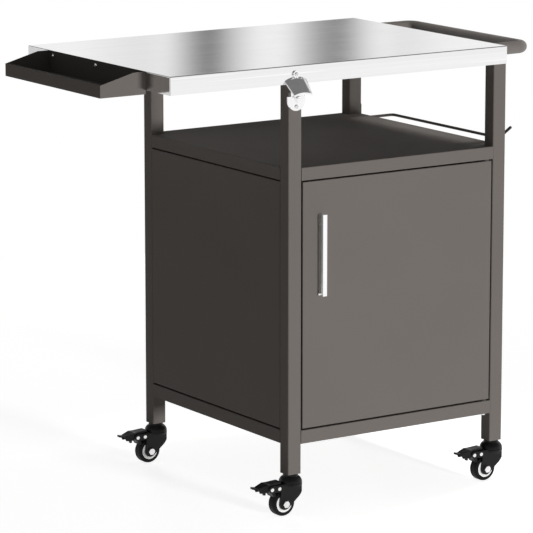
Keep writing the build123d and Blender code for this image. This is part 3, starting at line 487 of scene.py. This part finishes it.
def bent_tube():
    """A round tube along a line of straight runs, with rounded corners and closed ends."""
    sizes = {"Radius": 0.0125, "Bend": 0.02, "Bend Steps": 14, "Sides": 40}
    w, taken, given = shape_tree("bent_tube", sizes)
    line = w.add("GeometryNodeMeshToCurve", {"Mesh": taken["Geometry"]}).outputs[0]
    values = {"Curve": line, "Count": taken["Bend Steps"], "Radius": taken["Bend"], "Limit Radius": True}
    path = w.add("GeometryNodeFilletCurve", values, mode="POLY").outputs[0]
    values = {"Resolution": taken["Sides"], "Radius": taken["Radius"]}
    ring = w.add("GeometryNodeCurvePrimitiveCircle", values)
    values = {"Curve": path, "Profile Curve": ring.outputs["Curve"], "Fill Caps": True}
    return close_tree(w, w.add("GeometryNodeCurveToMesh", values).outputs[0], taken, given)


def baked(holder, modifier):
    """What an object's one modifier makes, as a plain mesh. The object is used up."""
    view = bpy.context.evaluated_depsgraph_get()
    mesh = bpy.data.meshes.new_from_object(holder.evaluated_get(view), depsgraph=view)
    holder.modifiers.remove(modifier)
    bpy.data.objects.remove(holder)
    return mesh


def grow(name, base, tree, finish, **values):
    """Run a geometry tree over a base mesh and keep what it makes as a plain mesh."""
    seed = bpy.data.objects.new(name, base)
    scene.collection.objects.link(seed)
    modifier = seed.modifiers.new("shape", "NODES")
    modifier.node_group = tree
    for item in tree.interface.items_tree:
        key = item.name.replace(" ", "_")
        if item.name == "Material":
            modifier[item.identifier] = finish
        elif key in values:
            modifier[item.identifier] = values[key]
    return baked(seed, modifier)


def line_mesh(points, edges=(), **attributes):
    mesh = bpy.data.meshes.new("line")
    mesh.from_pydata(points, edges, [])
    for label, values in attributes.items():
        kind = "FLOAT_VECTOR" if hasattr(values[0], "__len__") else "FLOAT"
        attribute = mesh.attributes.new(label, kind, "POINT")
        for item, value in zip(attribute.data, values):
            if kind == "FLOAT":
                item.value = value
            else:
                item.vector = value
    return mesh


def smooth_edges(mesh, crease):
    mesh.shade_smooth()
    mesh.set_sharp_from_angle(angle=math.radians(crease))


def put_piece(name, mesh, body, slot, *replaced, crease=CREASE):
    """Put a finished mesh in the scene, on its body and in place of CAD nodes."""
    mesh.name = name
    smooth_edges(mesh, crease)
    if not mesh.materials:
        mesh.materials.append(finishes[slot])
    piece = bpy.data.objects.new(name, mesh)
    scene.collection.objects.link(piece)
    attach(piece, body)
    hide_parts(*replaced)


def merged(node):
    """A copy of a CAD node's mesh with its loose triangles joined."""
    bm = bmesh.new()
    bm.from_mesh(nodes[node].data)
    bmesh.ops.remove_doubles(bm, verts=bm.verts, dist=CAD_WELD)
    return bm


def to_mesh(bm, name):
    mesh = bpy.data.meshes.new(name)
    bm.to_mesh(mesh)
    bm.free()
    return mesh


def smooth_copy(node, body, slot, crease=CREASE):
    """A smoothly shaded copy of a CAD node, which it replaces. Its large faces keep their own normals."""
    name = node + "_smooth"
    mesh = to_mesh(merged(node), name)
    smooth_edges(mesh, crease)
    holder = bpy.data.objects.new(name + "_base", mesh)
    scene.collection.objects.link(holder)
    modifier = holder.modifiers.new("normals", "WEIGHTED_NORMAL")
    modifier.weight = FACE_WEIGHT
    modifier.keep_sharp = True
    put_piece(name, baked(holder, modifier), body, slot, node, crease=crease)


def islands(node):
    """The separate solids of a CAD node, each as a list of points."""
    bm = merged(node)
    left = set(bm.verts)
    found = []
    while left:
        stack = [left.pop()]
        solid = []
        while stack:
            vert = stack.pop()
            solid.append(vert.co.copy())
            for edge in vert.link_edges:
                other = edge.other_vert(vert)
                if other in left:
                    left.remove(other)
                    stack.append(other)
        found.append(solid)
    bm.free()
    return found


def extent(points):
    """Low corner, high corner and middle of some points."""
    low = [min(p[k] for p in points) for k in range(3)]
    high = [max(p[k] for p in points) for k in range(3)]
    return low, high, [(a + b) / 2 for a, b in zip(low, high)]


def fastener(points, head):
    """Seat, direction and shank length of one fastener, read from its CAD solid."""
    low, high, middle = extent(points)
    size = [b - a for a, b in zip(low, high)]
    gaps = [abs(size[(k + 1) % 3] - size[(k + 2) % 3]) for k in range(3)]
    along = gaps.index(min(gaps))
    others = [k for k in range(3) if k != along]
    spread = {}
    for end, value in (("low", low[along]), ("high", high[along])):
        near = [p for p in points if abs(p[along] - value) < head * HEAD_REACH]
        spread[end] = max(math.hypot(*[p[k] - middle[k] for k in others]) for p in near)
    sign = 1.0 if spread["low"] > spread["high"] else -1.0
    axis = [0.0, 0.0, 0.0]
    axis[along] = sign
    seat = list(middle)
    seat[along] = low[along] + head if sign > 0 else high[along] - head
    return seat, axis, size[along] - head


def fastener_mesh(node, found, tree, head, **sizes):
    """Detailed fasteners on the seats that were found, as one mesh."""
    seats, axes, lengths = zip(*found)
    base = line_mesh(seats, axis=axes, length=lengths)
    return grow(node + "_base", base, tree, finishes["zinc"], Head_Height=head, **sizes)


def put_fasteners(node, body, head, **sizes):
    """Round-headed screws in place of a CAD node's plain ones."""
    found = [fastener(points, head) for points in islands(node)]
    put_piece(node + "_detailed", fastener_mesh(node, found, SCREWS, head, **sizes), body, "zinc", node)


def put_nutted(node, body, tree, head, nut, flats, **sizes):
    """Screws or bolts with their hexagon nuts, in place of a CAD node's plain ones."""
    bolts = []
    rest = []
    for points in islands(node):
        found = fastener(points, head)
        if found[2] > nut:
            bolts.append(found)
        else:
            rest.append(points)
    way = bolts[0][1]
    along = [abs(c) for c in way].index(1.0)
    nuts = []
    for points in rest:
        low, high, seat = extent(points)
        seat[along] = low[along] if way[along] > 0 else high[along]
        nuts.append((seat, [-c for c in way], NUT_GRIP))
    core = sizes["Shank_Radius"] * NUT_CORE
    bm = bmesh.new()
    bm.from_mesh(fastener_mesh(node, bolts, tree, head, **sizes))
    bm.from_mesh(fastener_mesh(node, nuts, HEXAGONS, nut, Across_Flats=flats, Shank_Radius=core))
    put_piece(node + "_detailed", to_mesh(bm, node), body, "zinc", node)


def put_brake_pins(corner):
    """Rivets across the fork, with a dished head at both ends."""
    node = "brake_pins_" + corner
    ends = []
    for points in islands(node):
        low, high, (x, y, z) = extent(points)
        half = (high[1] - low[1]) / 2 - RIVET_HEAD
        ends.append(((x, y - half, z), (0.0, 1.0, 0.0), half))
        ends.append(((x, y + half, z), (0.0, -1.0, 0.0), half))
    mesh = fastener_mesh(node, ends, RIVETS, RIVET_HEAD)
    put_piece(node + "_detailed", mesh, "caster_" + corner, "zinc", node)


def face_outward(mesh):
    bm = bmesh.new()
    bm.from_mesh(mesh)
    bmesh.ops.recalc_face_normals(bm, faces=bm.faces)
    bm.to_mesh(mesh)
    bm.free()


def put_push_handle():
    """The bent push tube, from one arm's end round to the other's."""
    low, high = (Vector(corner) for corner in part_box("push_handle"))
    radius = (high.z - low.z) / 2
    z = low.z + radius
    far = high.x - radius
    ends = (low.y + radius, high.y - radius)
    points = [(low.x, ends[0], z), (far, ends[0], z), (far, ends[1], z), (low.x, ends[1], z)]
    line = line_mesh(points, [(0, 1), (1, 2), (2, 3)])
    mesh = grow("push_line", line, TUBE, TUBE_COAT, Radius=radius, Bend=PUSH_BEND)
    face_outward(mesh)
    put_piece("push_tube", mesh, "cart_frame", "painted_steel", "push_handle")


PUSH_BEND = 0.020
HEAD_REACH = 1.02  # points within this many head heights of an end belong to its head
SMALL_HEAD = 0.0024
LARGE_HEAD = 0.0035
TRAY_NUT = 0.004
TRAY_NUT_FLATS = 0.008
AXLE_HEAD = 0.0053
AXLE_NUT = 0.0065
AXLE_FLATS = 0.013
RIVET_HEAD = 0.0018
NUT_GRIP = 0.001  # how far a nut's core goes into what it holds
NUT_CORE = 0.8  # a nut's core, as a share of its bolt's radius
SMALL_SCREW = {"Head_Radius": 0.004, "Shank_Radius": 0.002, "Recess_Width": 0.0011}
LARGE_BOLT = {"Head_Radius": 0.005, "Shank_Radius": 0.003, "Recess_Width": 0.0014}
AXLE_BOLT = {"Across_Flats": AXLE_FLATS, "Shank_Radius": 0.004}
SCREWS = round_head_screws()
HEXAGONS = hexagon_heads()
RIVETS = rivets()
TUBE = bent_tube()

put_push_handle()
for node in ("panel_screws", "opener_screws", "roll_holder_screws"):
    put_fasteners(node, "cart_frame", SMALL_HEAD, **SMALL_SCREW)
put_fasteners("door_handle_screws", "door", SMALL_HEAD, **SMALL_SCREW)
for node in ("frame_bolts", "handle_bolts"):
    put_fasteners(node, "cart_frame", LARGE_HEAD, **LARGE_BOLT)
put_nutted("tray_screws", "cart_frame", SCREWS, SMALL_HEAD, TRAY_NUT, TRAY_NUT_FLATS, **SMALL_SCREW)
smooth_copy("bottle_opener", "cart_frame", "opener_chrome", CAST_CREASE)
smooth_copy("roll_holder", "cart_frame", "black_rod")
for corner in CORNERS:
    fork = "caster_" + corner
    smooth_copy("caster_fork_" + corner, fork, "black_nylon")
    put_nutted("caster_axle_" + corner, fork, HEXAGONS, AXLE_HEAD, AXLE_NUT, AXLE_FLATS, **AXLE_BOLT)
    put_brake_pins(corner)
    smooth_copy("tyre_" + corner, "wheel_" + corner, "tyre_rubber")
    smooth_copy("wheel_hub_" + corner, "wheel_" + corner, "white_nylon")
    smooth_copy("brake_pedal_" + corner, "pedal_" + corner, "black_nylon")


def put_lamp(name, place, target, size, power, spread=180.0):
    lamp = bpy.data.lights.new(name, "AREA")
    lamp.shape = "RECTANGLE"
    lamp.size, lamp.size_y = size
    lamp.energy = power
    lamp.spread = math.radians(spread)
    lamp_object = bpy.data.objects.new(name, lamp)
    lamp_object.location = place
    lamp_object.visible_glossy = False
    aim = Vector(target) - Vector(place)
    lamp_object.rotation_euler = aim.to_track_quat("-Z", "Y").to_euler()
    scene.collection.objects.link(lamp_object)


def studio_sky():
    """A soft studio, white for the camera.

    Reflections show upright soft boxes. Below them is a glow, dimmer on the left, with one dark patch.
    """
    world = bpy.data.worlds.new("studio")
    scene.world = world
    world.use_nodes = True
    w = Wiring(world.node_tree)
    w.tree.nodes.clear()
    way = w.add("ShaderNodeTexCoord").outputs["Generated"]
    axes = w.add("ShaderNodeSeparateXYZ", {0: way}).outputs
    turn = w.math("ARCTAN2", axes["X"], axes["Y"])
    repeat = math.radians(BAND_REPEAT)
    step = w.math("DIVIDE", w.math("SUBTRACT", turn, math.radians(CAMERA_TURN)), repeat)
    phase = w.math("FRACT", w.plus(step, 0.5))
    bands = w.add("ShaderNodeValToRGB", {"Fac": phase})
    ramp = bands.color_ramp
    ramp.interpolation = "B_SPLINE"
    while len(ramp.elements) < len(BANDS):
        ramp.elements.new(0.5)
    for element, (angle, level) in zip(ramp.elements, BANDS):
        element.position = 0.5 + angle / BAND_REPEAT
        element.color = grey(level)
    sides = w.span(w.dot(way, LIT_SIDE), *LIT_RANGE, LEFT_GLOW, RIGHT_GLOW)
    low = w.span(axes["Z"], *BAND_FOOT)
    right = w.span(axes["X"], *RIGHT_RANGE, 0.0, RIGHT_LIFT)
    high = w.span(w.math("SUBTRACT", axes["Z"], right), *BAND_TOP)
    dark = w.span(w.dot(way, DARK_SIDE), *DARK_RANGE)
    sides = w.mix(dark, sides, grey(DARK_TONE))
    seen = w.mix(low, sides, bands.outputs["Color"])
    seen = w.mix(high, seen, grey(CEILING_TONE))
    path = w.add("ShaderNodeLightPath").outputs
    rise = w.span(axes["Z"], *RISE_RANGE)
    soft = w.mix(rise, shade(*LOW_LIGHT), shade(*HIGH_LIGHT))
    light = w.mix(path["Is Glossy Ray"], soft, seen)
    light = w.mix(path["Is Camera Ray"], light, grey(1.0))
    sky = w.add("ShaderNodeBackground", {"Color": light, "Strength": 1.0})
    out = w.add("ShaderNodeOutputWorld")
    w.link(sky.outputs[0], out.inputs["Surface"])


def put_floor():
    """A round pale floor whose open parts are as white as the backdrop, and which keeps soft shadows."""
    mesh = bpy.data.meshes.new("floor")
    turns = [math.tau * i / FLOOR_SIDES for i in range(FLOOR_SIDES)]
    rim = [(FLOOR_R * math.cos(a), FLOOR_R * math.sin(a), 0.0) for a in turns]
    mesh.from_pydata(rim, [], [list(range(FLOOR_SIDES))])
    floor = bpy.data.objects.new("floor", mesh)
    scene.collection.objects.link(floor)
    mat = bpy.data.materials.new("pale_floor")
    mat.use_nodes = True
    w = Wiring(mat.node_tree)
    w.tree.nodes.clear()
    grain = w.noise(w.place(), scale=3.0, detail=4.0)
    paint = w.mix(grain, grey(FLOOR_DIM), grey(FLOOR_PALE))
    plain = w.add("ShaderNodeBsdfDiffuse", {"Color": paint})
    path = w.add("ShaderNodeLightPath").outputs
    seen = w.math("MAXIMUM", path["Is Camera Ray"], path["Is Glossy Ray"])
    glow = w.span(seen, 0.0, 1.0, FLOOR_BOUNCE, FLOOR_WHITE)
    lit = w.add("ShaderNodeEmission", {"Color": grey(1.0), "Strength": glow})
    both = w.add("ShaderNodeAddShader")
    out = w.add("ShaderNodeOutputMaterial")
    w.link(plain.outputs[0], both.inputs[0])
    w.link(lit.outputs[0], both.inputs[1])
    w.link(both.outputs[0], out.inputs["Surface"])
    mesh.materials.append(mat)


CAMERA_PLACE = (-3.7792, -5.6697, 1.8018)
CAMERA_TURN = 33.582  # degrees to the right of straight ahead
CAMERA_DIP = 11.306  # degrees below level
CAMERA_LENS = 234.11
SENSOR_WIDTH = 36.0
LOW_LIGHT = (0.34, 0.31, 0.285)
HIGH_LIGHT = (0.12, 0.12, 0.12)
RISE_RANGE = (-0.3, 0.02)  # a direction's Z, from the low light to the high light
LIT_SIDE = (0.83, -0.55, 0.0)  # the way to the brighter side of the glow
LIT_RANGE = (-0.95, 0.9)
LEFT_GLOW = 0.8
RIGHT_GLOW = 1.15
BAND_FOOT = (0.03, 0.09)  # a direction's Z, from the glow to the soft boxes
BAND_TOP = (0.28, 0.42)  # the same, from the soft boxes to the ceiling
RIGHT_RANGE = (0.66, 0.86)  # a direction's X where the soft boxes grow taller
RIGHT_LIFT = 0.3  # how much higher they reach there
DARK_SIDE = (-0.543, -0.817, 0.196)  # the way to the dark patch
DARK_RANGE = (0.86, 0.96)
DARK_TONE = 0.1
CEILING_TONE = 0.22
FLOOR_WHITE = 0.8
FLOOR_BOUNCE = 0.21
FLOOR_R = 2.4
FLOOR_SIDES = 96
FLOOR_DIM = 0.86
FLOOR_PALE = 0.9
BAND_REPEAT = 14.0
BANDS = (
    (-7.0, 0.95), (-3.4, 1.1), (-2.1, 0.78), (-1.75, 1.0), (-1.5, 0.85), (-1.1, 0.14), (-0.85, 0.2),
    (-0.6, 0.6), (-0.27, 0.9), (0.06, 1.15), (0.3, 1.0), (0.5, 0.8), (0.75, 0.5), (1.2, 0.12),
    (1.5, 0.6), (1.9, 1.1), (2.2, 0.78), (2.9, 1.0), (4.0, 1.05), (7.0, 0.95),
)
studio_sky()
put_floor()
put_lamp("key", place=(0.4, -5.4, 0.5), target=(0.0, 0.0, 0.5), size=(0.8, 0.3), power=218.0)
put_lamp("back", place=(1.6, 4.8, 0.45), target=(0.0, 0.0, 0.45), size=(1.6, 0.5), power=90.0)
put_lamp("rim", place=(0.9, 0.0, 2.2), target=(0.48, 0.0, 0.84), size=(0.3, 0.5), power=0.7, spread=30.0)

lens = bpy.data.cameras.new("camera")
lens.sensor_width = SENSOR_WIDTH
lens.lens = CAMERA_LENS
camera = bpy.data.objects.new("camera", lens)
camera.location = CAMERA_PLACE
camera.rotation_euler = (math.radians(90.0 - CAMERA_DIP), 0.0, math.radians(-CAMERA_TURN))
scene.collection.objects.link(camera)
scene.camera = camera
scene.view_settings.view_transform = "Standard"
